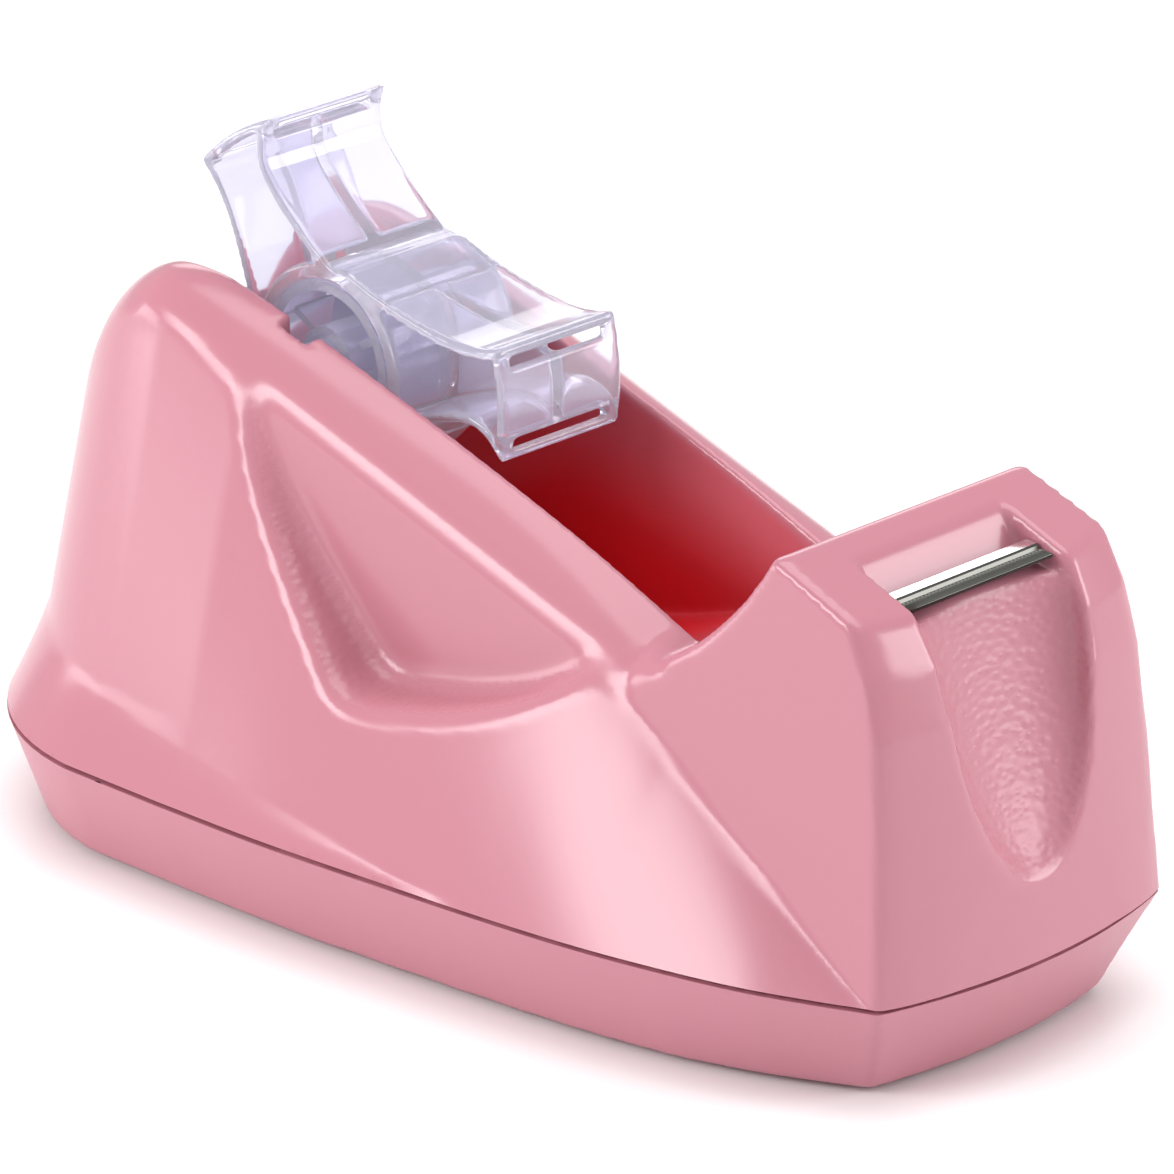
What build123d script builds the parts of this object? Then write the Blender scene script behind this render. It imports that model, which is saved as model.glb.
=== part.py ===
"""Desk tape dispenser: a weighted moulded body with an open tape well, a clear lift-out hub and a steel cutter.

The frame's origin is on the desk under the middle of the body. +X runs towards the cutter, +Y across the
body and +Z up. The body is symmetric about the XZ plane.
"""

import math
import os

from build123d import *

# Overall body
HALF_LENGTH = 99.35  # from the middle to the nose, along the parting line
FOOT_PROUD = 1.0  # the rubber feet lift the tray this far off the desk
PARTING_Z = 17.0  # line where the upper shell meets the base tray
PARTING_GAP = 0.5  # shadow gap along that line
WALL = 2.4  # moulded wall thickness of the tray
LIP_HEIGHT = 4.0  # the tray's rim reaches this far up inside the shell

# Tape hub, sized by the two standard tape cores: 25.4 mm and 76.2 mm bore
HUB_X = -35.85
HUB_Z = 78.5
LARGE_CORE_R = 37.6
SMALL_CORE_R = 12.6
HUB_HALF_WIDTH = 12.7
ADAPTER_TUBE_R = 15.3
ADAPTER_WALL = 1.7
ADAPTER_WEB = 2.0  # wall at mid-width inside each arm
ARM_ANGLE = 2.7  # the first arm's angle above +X at rest
ARM_TIP_HALF_ANGLE = 13.8
TIP_SLOT_OFFSET = 6.3
TIP_SLOT_LENGTH = 20.6
TIP_SLOT_WIDTH = 1.8
SOCKET_R = 5.4
RUNNING_GAP = 0.05  # radial clearance of the spool on its axle
AXLE_R = 3.5
AXLE_FLAT = 5.0  # thickness across the flats at the axle's two ends
AXLE_HALF_LENGTH = 19.2

# Tape well between the two side walls
WELL_HALF = 17.2
WELL_R = 46.0
WELL_SKIN = 2.2
SLOT_DEPTH = 2.4  # the axle's slots are this deep in the side walls

# Plan of the body: rear half-ellipses at the parting line and at the waist, then stations along the side
REAR_FOOT = (-51.4, 47.95, 50.4)  # centre x, half-axis along x, half-axis along y
REAR_WAIST = (-53.6, 36.0, 28.5)
REAR_ANGLES = (0, 13, 26, 39, 51, 62, 72, 82)
WAIST_HALF = 28.5
REAR_WAIST_Z = 71.0
SIDE_WAIST_Z = 82.0
# Stations along the side: x, half-width at the parting line, height where the flare starts
SIDE_STATIONS = (
    (-36, 50.4, 82.0),
    (-16, 50.2, 76.5),
    (3, 49.1, 69.5),
    (26, 47.3, 61.0),
    (44, 45.4, 52.0),
    (59, 42.8, 41.8),
    (74, 39.2, 31.2),
    (86, 34.8, 22.3),
    (92, 32.2, 18.0),
)
HULL_LEVELS = (17.3, 22, 30, 40, 50, 61, 75, 93)

# Cutter block at the front
BLOCK_REAR = (69.35, 79.0)  # top rear edge: x, z
BLOCK_FRONT = (84.75, 73.1)  # top front edge: x, z
BLOCK_HALF = 27.2  # half-width at the top rear edge
FACET_TAPER = 0.0636  # the side facets spread this much for each mm down
FACET_TOE = 0.0145  # and this much for each mm forward
# Corner ridge of the front face: height, x, and how far the face bows out in the middle
BLOCK_LEVELS = ((17.3, 94.4, 4.9), (41.5, 92.7, 4.0), (56.5, 91.1, 3.4), (65.5, 88.9, 3.0), (84.0, 79.3, 2.4))
BLOCK_TAIL_X = 25.0

# Cutter and its opening in the block: side-view points x, z
RECESS_HALF = 16.0
RECESS_VIEW = ((75.0, 76.9), (78.3, 71.2), (80.0, 70.2), (84.5, 69.4), (93.0, 69.0), (93.0, 82.0), (75.0, 82.0))
BLADE_HALF = 15.5
BLADE_THICKNESS = 0.6
BLADE_TAB = ((76.5, 60.0), (76.5, 69.4), (79.3, 72.4))
BLADE_RIDGE = ((79.3, 72.4), (81.2, 73.3), (82.8, 72.95))
BLADE_TIP = (85.3, 71.9)
TOOTH_PITCH = 1.0
TOOTH_DEPTH = 0.9
CLAMP_THICKNESS = 2.0
CLAMP_HALF = 13.0
CLAMP_Z = (60.5, 66.5)
CLAMP_SCREW_Y = 9.0
CLAMP_SCREW_R = 1.1
CLAMP_BOSS_R = 3.0

# Finger rest scooped into the front face by an inclined cylinder
SCOOP_R = 25.0
SCOOP_TOP = (82.9, 72.0)  # the scoop's floor under the cutter: x, z
SCOOP_TOE = (97.9, 30.0)  # where it runs out on the front face

# Triangular grip recess in each side: side-view corners x, z and the depth of its flat
GRIP_VIEW = (
    (-38.5, 80.5),
    (38.5, 54.5),
    (26.4, 47.4),
    (15, 43.1),
    (6, 41),
    (-1.7, 39.7),
    (-7, 40.5),
    (-12.5, 45.2),
    (-27.9, 62.2),
)
GRIP_HALF = 28.9

# Base tray
TRAY_INSET = 5.6  # the tray's sides draw in this far down to its underside
TRAY_FRONT_INSET = 8.6
TRAY_FLOOR = 2.4
SHELF_Z = 14.5
TONGUE_GAP = 0.4  # between the tray's tongue and the shell's hollow
TONGUE_WALL = 1.6
POST_HEIGHT = 28.0
PILOT_DEPTH = 16.0
THREAD_BITE = 0.2
SCREW_POSTS = ((-58.0, 31.0), (66.0, 24.0))
SCREW_R = 1.5
PILOT_R = 1.3
POST_R = 3.8
BOSS_R = 4.6
HEAD_R = 3.0
HEAD_HEIGHT = 2.2
FOOT_SPOTS = ((-68.0, 24.0), (76.0, 18.0))
FOOT_R = 6.5
FOOT_HEIGHT = 2.0
BALLAST_SCREW_X = (-30.0, 30.0)


BALLAST_Z = (4.6, 26.0)
BALLAST_PLAN = ((-82, 16), (-70, 29), (50, 32), (58, 17), (80, 12))

# The shell's hollow, in plan above the parting line and higher up, and in side view beside the well
HOLLOW_STEP_Z = 30.0
HOLLOW_LOW = ((-92, 0), (-86, 20), (-70, 36), (-36, 43), (3, 42.5), (44, 38.5), (74, 32), (91, 27))
HOLLOW_MID = ((-86, 0), (-80, 18), (-62, 30), (-36, 34), (3, 33), (40, 30), (70, 26.5), (88, 26))
HOLLOW_MID_TOP = 37.0
HOLLOW_SIDE = ((-64, 36), (-62, 68), (-48, 76), (-20, 72), (20, 58), (40, 48), (42, 36))
HOLLOW_SIDE_HALF = 24.5
HOLLOW_BLOCK = ((50, 36), (58, 60), (68, 71.5), (73.5, 71.5), (75, 67), (80, 66), (84, 60), (87, 36))
HOLLOW_BLOCK_HALF = 24.0


def clamp(value, low, high):
    """The value, kept between two limits."""
    return max(low, min(high, value))


def facet_half(x, z):
    """Half-width of the cutter block's side facets at a point of its side view."""
    return BLOCK_HALF + FACET_TOE * (x - BLOCK_REAR[0]) + FACET_TAPER * (BLOCK_REAR[1] - z)


def flare(drop, x):
    """How far the side has spread from waist (0) to parting line (1), with a kick-out towards the rear."""
    straight = clamp(0.73 + 0.27 * (x + 60) / 85, 0.73, 1.0)
    return straight * drop + (1 - straight) * drop**9


def hull_half_outline(z, inset=0.0):
    """Points of the flared body's plan at one height, from the rear centre along one side to its nose."""
    points = []
    for angle in REAR_ANGLES:
        along, across = math.cos(math.radians(angle)), math.sin(math.radians(angle))
        foot_x = REAR_FOOT[0] - (REAR_FOOT[1] - inset) * along
        foot_y = (REAR_FOOT[2] - inset) * across
        waist_x = REAR_WAIST[0] - (REAR_WAIST[1] - inset) * along
        waist_y = (REAR_WAIST[2] - inset) * across
        top = REAR_WAIST_Z + (SIDE_WAIST_Z - REAR_WAIST_Z) * across**2
        spread = flare(clamp((top - z) / (top - PARTING_Z), 0, 1), foot_x)
        lean = 1 - 0.006 * max(0, z - top)
        x = waist_x * lean + REAR_WAIST[0] * (1 - lean)
        points.append((x + (foot_x - waist_x) * spread, waist_y * lean + (foot_y - waist_y) * spread))
    draw_back = clamp(1 - 0.018 * (z - 30), 0.4, 1.0)
    for station_x, foot_half, top in SIDE_STATIONS:
        x = station_x if station_x < 44 else 44 + (station_x - 44) * draw_back
        spread = flare(clamp((top - z) / (top - PARTING_Z), 0, 1), x)
        waist_half = max(WAIST_HALF, facet_half(x, z)) - 0.03 * max(0, z - top)
        if station_x > 44:
            waist_half = facet_half(x, z) - 0.4
        points.append((x, waist_half + (foot_half - waist_half) * spread - inset))
    nose_x = 44 + 50 * draw_back - inset
    points.append((nose_x, 24 - inset))
    points.append((nose_x + 1, 0))
    return points


def flared_hull():
    """The body without its cutter block: plan outlines lofted from the parting line up."""
    with BuildPart() as hull:
        for z in HULL_LEVELS:
            near = hull_half_outline(z)
            far = [(x, -y) for x, y in reversed(near[1:-1])]
            with BuildSketch(Plane.XY.offset(z)):
                with BuildLine():
                    Polyline(*near, *far, close=True)
                make_face()
        loft(ruled=True)
    return hull.part


def cutter_block():
    """The faceted block that carries the cutter, with its bowed front face."""
    with BuildPart() as block:
        for z, corner_x, bow in BLOCK_LEVELS:
            half = facet_half(corner_x, z)
            tail_half = facet_half(BLOCK_TAIL_X, z)
            with BuildSketch(Plane.XY.offset(z)):
                with BuildLine():
                    Polyline(
                        (corner_x, half),
                        (BLOCK_TAIL_X, tail_half),
                        (BLOCK_TAIL_X, -tail_half),
                        (corner_x, -half),
                    )
                    ThreePointArc((corner_x, -half), (corner_x + bow, 0), (corner_x, half))
                make_face()
        loft()
    return block.part


def side_view_block():
    """Everything under the body's side-view outline."""
    with BuildPart() as block:
        with BuildSketch(Plane.XZ):
            with BuildLine():
                Line((-110, 30), (-97, 40))
                Polyline(
                    (-97, 40),
                    (-92.5, 56),
                    (-88.5, 65.5),
                    (-84.2, 72.6),
                    (-79, 78.7),
                    (-73.2, 83.8),
                    (-66.5, 87.9),
                    (-61.8, 89.5),
                    (-57.0, 90.0),
                    (-50.4, 89.3),
                    (-43.8, 87.7),
                    (-18.6, 80.6),
                    (-1.0, 75.7),
                    (15.5, 69.8),
                    (31.5, 63.5),
                    (46.75, 56.7),
                )
                ThreePointArc((46.75, 56.7), (59.9, 66.3), BLOCK_REAR)
                Polyline(BLOCK_REAR, BLOCK_FRONT, (111.0, 63.0), (111.0, -10), (-110, -10), (-110, 30))
            make_face()
        extrude(amount=70, both=True)
    return block.part


def well_section(grow):
    """Side view of the tape well: round under the roll, then rising to the cutter block's back."""
    radius = WELL_R + grow
    bottom_angle = math.radians(-80)
    middle_angle = math.radians(-140)
    rim = (HUB_X - radius, HUB_Z)
    middle = (HUB_X + radius * math.cos(middle_angle), HUB_Z + radius * math.sin(middle_angle))
    bottom = (HUB_X + radius * math.cos(bottom_angle), HUB_Z + radius * math.sin(bottom_angle))
    crest = (46.75 + 0.54 * grow, 56.7 - 0.84 * grow)
    with BuildSketch(Plane.XZ) as section:
        with BuildLine():
            ThreePointArc(rim, middle, bottom)
            Spline(bottom, crest, tangents=[(0.985, 0.174), (0.84, 0.54)])
            Polyline(crest, (crest[0], 110), (rim[0], 110), rim)
        make_face()
    return section.sketch


def rim_section(z, inset, front_inset):
    """The body's closed outline at the parting line, drawn at height z and drawn in by an inset."""
    stations = len(REAR_ANGLES) + len(SIDE_STATIONS) - 1
    half = hull_half_outline(HULL_LEVELS[0], inset)[:stations]
    corner_x = BLOCK_LEVELS[0][1] - front_inset
    near = half + [(corner_x, facet_half(BLOCK_LEVELS[0][1], PARTING_Z) - 0.7 * inset)]
    far = [(x, -y) for x, y in reversed(near[1:])]
    with BuildSketch(Plane.XY.offset(z)) as section:
        with BuildLine():
            Polyline(*far, *near)
            ThreePointArc(near[-1], (corner_x + BLOCK_LEVELS[0][2], 0), far[0])
        make_face()
    return section.sketch


def tray_form(inset, low):
    """The tray's tapering form from a height up to the parting line."""
    drop = (PARTING_Z - low) / (PARTING_Z - FOOT_PROUD)
    with BuildPart() as form:
        add(rim_section(PARTING_Z - PARTING_GAP / 2, inset, inset))
        add(rim_section(low, inset + TRAY_INSET * drop, inset + TRAY_FRONT_INSET * drop))
        loft(ruled=True)
    return form.part


def both_sides(spots):
    """The same spots on both sides of the body."""
    return [(x, side * y) for x, y in spots for side in (-1, 1)]


def plan_loop(half):
    """A closed plan outline from its half on the +Y side."""
    return half + tuple((x, -y) for x, y in reversed(half) if y)


outer = (flared_hull() + cutter_block()) & side_view_block()
post_spots = both_sides(SCREW_POSTS)
ballast_screw_spots = [(x, 0) for x in BALLAST_SCREW_X]
foot_spots = both_sides(FOOT_SPOTS)
clamp_screw_spots = [(side * CLAMP_SCREW_Y, sum(CLAMP_Z) / 2) for side in (-1, 1)]

# The hollow inside the shell, less the well's skin, the axle's seats and the screw posts
with BuildPart() as hollow:
    for z, top, half in ((PARTING_Z, HOLLOW_STEP_Z, HOLLOW_LOW), (HOLLOW_STEP_Z, HOLLOW_MID_TOP, HOLLOW_MID)):
        with BuildSketch(Plane.XY.offset(z)):
            with BuildLine():
                Polyline(*plan_loop(half), close=True)
            make_face()
        extrude(amount=top - z)
    for outline, half_width in ((HOLLOW_SIDE, HOLLOW_SIDE_HALF), (HOLLOW_BLOCK, HOLLOW_BLOCK_HALF)):
        with BuildSketch(Plane.XZ):
            with BuildLine():
                Polyline(*outline, close=True)
            make_face()
        extrude(amount=half_width, both=True)
    with BuildSketch(Plane.XZ):
        add(well_section(WELL_SKIN))
    extrude(amount=WELL_HALF + WELL_SKIN, both=True, mode=Mode.SUBTRACT)
    with Locations((HUB_X, 0, HUB_Z + 12)):
        Box(13, 2 * (WELL_HALF + SLOT_DEPTH + WELL_SKIN), 42, mode=Mode.SUBTRACT)
    with BuildSketch(Plane.XY.offset(PARTING_Z)):
        with Locations(post_spots):
            Circle(POST_R)
    extrude(amount=POST_HEIGHT, mode=Mode.SUBTRACT)
    with BuildSketch(Plane.YZ.offset(BLADE_TAB[0][0] + BLADE_THICKNESS / 2)):
        with Locations(clamp_screw_spots):
            Circle(CLAMP_BOSS_R)
    extrude(amount=12, mode=Mode.SUBTRACT)

with BuildPart() as upper_shell:
    add(outer)
    add(hollow.part, mode=Mode.SUBTRACT)
    with BuildSketch(Plane.XZ):
        add(well_section(0))
    extrude(amount=WELL_HALF, both=True, mode=Mode.SUBTRACT)
    # Open-topped slots in the well's walls, where the axle's flatted ends drop in
    with BuildSketch(Plane.XZ):
        with Locations((HUB_X, HUB_Z)):
            Circle(AXLE_R + RUNNING_GAP)
            Rectangle(AXLE_FLAT + 0.3, 2 * AXLE_R + 1, mode=Mode.INTERSECT)
        with Locations((HUB_X, HUB_Z + 15)):
            Rectangle(AXLE_FLAT + 0.3, 30)
    extrude(amount=WELL_HALF + SLOT_DEPTH, both=True, mode=Mode.SUBTRACT)
    # Opening over the cutter, and the slot that its tab goes down through
    with BuildSketch(Plane.XZ):
        with BuildLine():
            Polyline(*RECESS_VIEW, close=True)
        make_face()
    extrude(amount=RECESS_HALF, both=True, mode=Mode.SUBTRACT)
    with BuildSketch(Plane.XZ):
        with BuildLine():
            Polyline(*BLADE_TAB)
        trace(line_width=BLADE_THICKNESS + 0.3)
    extrude(amount=BLADE_HALF + 0.2, both=True, mode=Mode.SUBTRACT)
    # Finger rest
    scoop_tilt = math.atan2(SCOOP_TOE[0] - SCOOP_TOP[0], SCOOP_TOP[1] - SCOOP_TOE[1])
    scoop_axis = (SCOOP_TOP[0] + SCOOP_R * math.cos(scoop_tilt), 0, SCOOP_TOP[1] + SCOOP_R * math.sin(scoop_tilt))
    with Locations(Location(scoop_axis, (0, -math.degrees(scoop_tilt), 0))):
        Cylinder(SCOOP_R, 150, mode=Mode.SUBTRACT)
    # Grip recess in each side
    for side in (-1, 1):
        with BuildSketch(Plane.XZ.offset(side * GRIP_HALF)):
            with BuildLine():
                Polyline(*GRIP_VIEW, close=True)
            make_face()
        extrude(amount=side * 30, mode=Mode.SUBTRACT)
    # Pilot holes for the base screws and the clamp's screws
    with BuildSketch(Plane.XY.offset(PARTING_Z)):
        with Locations(post_spots):
            Circle(PILOT_R)
    extrude(amount=PILOT_DEPTH, mode=Mode.SUBTRACT)
    with BuildSketch(Plane.YZ.offset(BLADE_TAB[0][0])):
        with Locations(clamp_screw_spots):
            Circle(CLAMP_SCREW_R - THREAD_BITE)
    extrude(amount=4.5, mode=Mode.SUBTRACT)

with BuildPart() as base_tray:
    add(tray_form(0, FOOT_PROUD))
    add(tray_form(WALL, FOOT_PROUD + TRAY_FLOOR), mode=Mode.SUBTRACT)
    # Shelf and tongue that locate the rim inside the shell
    add(rim_section(SHELF_Z, WALL - 0.6, WALL - 0.2))
    extrude(amount=PARTING_Z - PARTING_GAP / 2 - SHELF_Z)
    for inset, low, high, mode in (
        (TONGUE_GAP, SHELF_Z, PARTING_Z + LIP_HEIGHT, Mode.ADD),
        (TONGUE_GAP + TONGUE_WALL, SHELF_Z - 1, PARTING_Z + LIP_HEIGHT + 1, Mode.SUBTRACT),
    ):
        with BuildSketch(Plane.XY.offset(low)):
            with BuildLine():
                Polyline(*plan_loop(HOLLOW_LOW), close=True)
            make_face()
            offset(amount=-inset, kind=Kind.INTERSECTION)
        extrude(amount=high - low, mode=mode)
    # Screw bosses, drilled and counterbored from below, and the seats of the feet
    with BuildSketch(Plane.XY.offset(FOOT_PROUD)):
        with Locations(post_spots):
            Circle(BOSS_R)
    extrude(amount=PARTING_Z - FOOT_PROUD)
    with BuildSketch(Plane.XY.offset(FOOT_PROUD)):
        with Locations(ballast_screw_spots):
            Circle(BOSS_R)
    extrude(amount=BALLAST_Z[0] - FOOT_PROUD)
    with BuildSketch(Plane.XY.offset(FOOT_PROUD)):
        with Locations(foot_spots):
            Circle(FOOT_R + 1.5)
    extrude(amount=BALLAST_Z[0] - FOOT_PROUD)
    with BuildSketch(Plane.XY):
        with Locations(post_spots + ballast_screw_spots):
            Circle(HEAD_R + 0.3)
    extrude(amount=FOOT_PROUD + HEAD_HEIGHT + 0.2, mode=Mode.SUBTRACT)
    with BuildSketch(Plane.XY):
        with Locations(post_spots + ballast_screw_spots):
            Circle(SCREW_R + 0.2)
    extrude(amount=PARTING_Z + 1, mode=Mode.SUBTRACT)
    with BuildSketch(Plane.XY):
        with Locations(foot_spots):
            Circle(FOOT_R)
    extrude(amount=FOOT_HEIGHT, mode=Mode.SUBTRACT)

with BuildPart() as ballast_block:
    with BuildSketch(Plane.XY.offset(BALLAST_Z[0])):
        with BuildLine():
            Polyline(*plan_loop(BALLAST_PLAN), close=True)
        make_face()
    extrude(amount=BALLAST_Z[1] - BALLAST_Z[0])
    with BuildSketch(Plane.XY):
        with Locations(post_spots):
            Circle(BOSS_R + 1)
    extrude(amount=BALLAST_Z[1] + 1, mode=Mode.SUBTRACT)
    with BuildSketch(Plane.XY):
        with Locations(ballast_screw_spots):
            Circle(SCREW_R - THREAD_BITE)
    extrude(amount=BALLAST_Z[0] + 9, mode=Mode.SUBTRACT)


def pan_screws(spots, tip_z):
    """Pan-head screws driven up from the tray's counterbores."""
    head_z = FOOT_PROUD + 0.2
    with BuildPart() as screws:
        with BuildSketch(Plane.XY.offset(head_z)):
            with Locations(spots):
                Circle(HEAD_R)
        extrude(amount=HEAD_HEIGHT)
        chamfer(screws.edges().group_by(Axis.Z)[0], length=0.6)
        with BuildSketch(Plane.XY.offset(head_z + HEAD_HEIGHT)):
            with Locations(spots):
                Circle(SCREW_R)
        extrude(amount=tip_z - head_z - HEAD_HEIGHT)
        with BuildSketch(Plane.XY.offset(head_z)):
            with Locations(spots):
                Rectangle(3.6, 0.8)
                Rectangle(0.8, 3.6)
        extrude(amount=1.2, mode=Mode.SUBTRACT)
    return screws.part


base_screws = pan_screws(post_spots, PARTING_Z + 12)
ballast_screws = pan_screws(ballast_screw_spots, BALLAST_Z[0] + 8)

feet = {}
for (x, y), name in zip(foot_spots, ("rear_right", "rear_left", "front_right", "front_left")):
    with BuildPart() as foot:
        with BuildSketch():
            with Locations((x, y)):
                Circle(FOOT_R - 0.1)
        extrude(amount=FOOT_HEIGHT)
        chamfer(foot.edges().group_by(Axis.Z)[0], length=0.5)
    feet["foot_" + name] = foot.part

with BuildPart() as cutter_blade:
    with BuildSketch(Plane.XZ):
        with BuildLine():
            Polyline(*BLADE_TAB)
            ThreePointArc(*BLADE_RIDGE)
            Line(BLADE_RIDGE[2], BLADE_TIP)
        trace(line_width=BLADE_THICKNESS)
    extrude(amount=BLADE_HALF, both=True)
    flange = Vector(BLADE_TIP[0] - BLADE_RIDGE[2][0], 0, BLADE_TIP[1] - BLADE_RIDGE[2][1]).normalized()
    tooth_plane = Plane(origin=(BLADE_TIP[0], 0, BLADE_TIP[1]), x_dir=(0, 1, 0), z_dir=(-flange.Z, 0, flange.X))
    towards_edge = 1 if tooth_plane.y_dir.dot(flange) > 0 else -1
    with BuildSketch(tooth_plane):
        with GridLocations(TOOTH_PITCH, 1, int(2 * BLADE_HALF / TOOTH_PITCH), 1):
            Polygon(
                (-TOOTH_PITCH / 2, towards_edge * 0.6),
                (TOOTH_PITCH / 2, towards_edge * 0.6),
                (0, -towards_edge * TOOTH_DEPTH),
                align=None,
            )
    extrude(amount=1.5, both=True, mode=Mode.SUBTRACT)
    with BuildSketch(Plane.YZ.offset(BLADE_TAB[0][0] - 1)):
        with Locations(clamp_screw_spots):
            Circle(CLAMP_SCREW_R + 0.2)
    extrude(amount=2, mode=Mode.SUBTRACT)

clamp_face_x = BLADE_TAB[0][0] - BLADE_THICKNESS / 2
with BuildPart() as blade_clamp:
    with Locations((clamp_face_x - CLAMP_THICKNESS / 2, 0, sum(CLAMP_Z) / 2)):
        Box(CLAMP_THICKNESS, 2 * CLAMP_HALF, CLAMP_Z[1] - CLAMP_Z[0])
    fillet(blade_clamp.edges().filter_by(Axis.X), radius=1.5)
    with BuildSketch(Plane.YZ.offset(clamp_face_x - CLAMP_THICKNESS - 1)):
        with Locations(clamp_screw_spots):
            Circle(CLAMP_SCREW_R + 0.2)
    extrude(amount=CLAMP_THICKNESS + 2, mode=Mode.SUBTRACT)

with BuildPart() as clamp_screws:
    with BuildSketch(Plane.YZ.offset(clamp_face_x - CLAMP_THICKNESS - 1.3)):
        with Locations(clamp_screw_spots):
            Circle(2.1)
    extrude(amount=1.3)
    with BuildSketch(Plane.YZ.offset(clamp_face_x - CLAMP_THICKNESS)):
        with Locations(clamp_screw_spots):
            Circle(CLAMP_SCREW_R)
    extrude(amount=CLAMP_THICKNESS + 4.5)

with BuildPart() as hub_axle:
    with BuildSketch(Plane.XZ):
        with Locations((HUB_X, HUB_Z)):
            Circle(AXLE_R)
    extrude(amount=AXLE_HALF_LENGTH, both=True)
    with BuildSketch(Plane.XZ):
        with Locations((HUB_X, HUB_Z)):
            Circle(AXLE_R + 1)
            Rectangle(AXLE_FLAT, 2 * AXLE_R + 4, mode=Mode.SUBTRACT)
    flats = extrude(amount=AXLE_HALF_LENGTH + 1, both=True, mode=Mode.PRIVATE)
    add(flats & Box(300, 2 * (AXLE_HALF_LENGTH + 1), 300, mode=Mode.PRIVATE)
        - Box(300, 2 * (WELL_HALF - 1), 300, mode=Mode.PRIVATE), mode=Mode.SUBTRACT)

spools = {}
for side, name in ((-1, "near"), (1, "far")):
    with BuildPart() as spool:
        # Rim, closed by a web at mid-width, with a socket for the axle
        with BuildSketch(Plane.XZ):
            with Locations((HUB_X, HUB_Z)):
                Circle(SMALL_CORE_R)
                Circle(SMALL_CORE_R - 1.6, mode=Mode.SUBTRACT)
                Circle(SOCKET_R)
                Circle(AXLE_R + RUNNING_GAP, mode=Mode.SUBTRACT)
        extrude(amount=-side * HUB_HALF_WIDTH)
        with BuildSketch(Plane.XZ):
            with Locations((HUB_X, HUB_Z)):
                Circle(SMALL_CORE_R - 1)
                Circle(AXLE_R + RUNNING_GAP, mode=Mode.SUBTRACT)
        extrude(amount=-side * 1.2)
        with BuildSketch(Plane.XZ):
            with Locations((HUB_X, HUB_Z)):
                with PolarLocations(0, 3, start_angle=30):
                    with Locations(((SOCKET_R + SMALL_CORE_R - 1.6) / 2, 0)):
                        Rectangle(SMALL_CORE_R - 1.4 - SOCKET_R + 1, 1.2)
        extrude(amount=-side * (HUB_HALF_WIDTH - 2.5))
    spools["spool_half_" + name] = spool.part


def arm_section(inset):
    """One arm of the large adapter in side view: a straight-backed wall, a hooked wall and a curved tip."""
    tip = math.radians(ARM_TIP_HALF_ANGLE)
    back = (LARGE_CORE_R * math.cos(tip), LARGE_CORE_R * math.sin(tip))
    front = (back[0], -back[1])
    with BuildSketch() as section:
        with BuildLine():
            Polyline((4.2, 14.6), (16.5, 10.7), (25.9, 8.5), (32.2, 8.2), back)
            ThreePointArc(back, (LARGE_CORE_R, 0), front)
            Polyline(front, (33.6, -5.7), (30.4, -4.3), (26.0, -4.6), (19.6, -6.2), (13.6, -8.2))
            Polyline((13.6, -8.2), (0, 0), (4.2, 14.6))
        make_face()
        if inset:
            offset(amount=-inset)
    return section.sketch


with BuildPart() as large_core_adapter:
    with BuildSketch(Plane.XZ):
        with Locations((HUB_X, HUB_Z)):
            Circle(ADAPTER_TUBE_R)
            with PolarLocations(0, 3, start_angle=ARM_ANGLE):
                add(arm_section(0))
    extrude(amount=HUB_HALF_WIDTH, both=True)
    # Each arm is hollow from both sides, down to a web at mid-width
    for side in (-1, 1):
        with BuildSketch(Plane.XZ.offset(side * ADAPTER_WEB / 2)):
            with Locations((HUB_X, HUB_Z)):
                with PolarLocations(0, 3, start_angle=ARM_ANGLE):
                    add(arm_section(ADAPTER_WALL))
                Circle(ADAPTER_TUBE_R, mode=Mode.SUBTRACT)
        extrude(amount=side * HUB_HALF_WIDTH, mode=Mode.SUBTRACT)
    with BuildSketch(Plane.XZ):
        with Locations((HUB_X, HUB_Z)):
            Circle(SMALL_CORE_R + RUNNING_GAP)
    extrude(amount=HUB_HALF_WIDTH + 1, both=True, mode=Mode.SUBTRACT)
    # Two long slots through each tip
    for turn in range(3):
        angle = math.radians(ARM_ANGLE + 120 * turn)
        outward = (math.cos(angle), 0, math.sin(angle))
        origin = (HUB_X + 39 * outward[0], 0, HUB_Z + 39 * outward[2])
        with BuildSketch(Plane(origin=origin, x_dir=(0, 1, 0), z_dir=outward)):
            with Locations((0, TIP_SLOT_OFFSET), (0, -TIP_SLOT_OFFSET)):
                SlotOverall(TIP_SLOT_LENGTH, TIP_SLOT_WIDTH)
        extrude(amount=-4.2, mode=Mode.SUBTRACT)

pieces = {
    "upper_shell": upper_shell.part,
    "base_tray": base_tray.part,
    "ballast_block": ballast_block.part,
    "base_screws": base_screws,
    "ballast_screws": ballast_screws,
    "cutter_blade": cutter_blade.part,
    "blade_clamp": blade_clamp.part,
    "clamp_screws": clamp_screws.part,
    "hub_axle": hub_axle.part,
    "large_core_adapter": large_core_adapter.part,
    **feet,
    **spools,
}
os.makedirs("parts", exist_ok=True)
for name, part in pieces.items():
    part.label = name
    export_step(part, f"parts/{name}.step")
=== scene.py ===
"""Desk tape dispenser: the smooth outer forms, finishes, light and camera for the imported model.

The large mouldings are made as distance fields, in millimetres, on a grid from the middle plane outwards.
Shapes are cut and joined there with rounded edges, and the surface is then drawn as a mesh of quads.
"""

import math

import bpy
import numpy as np
from mathutils import Matrix, Vector


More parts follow.
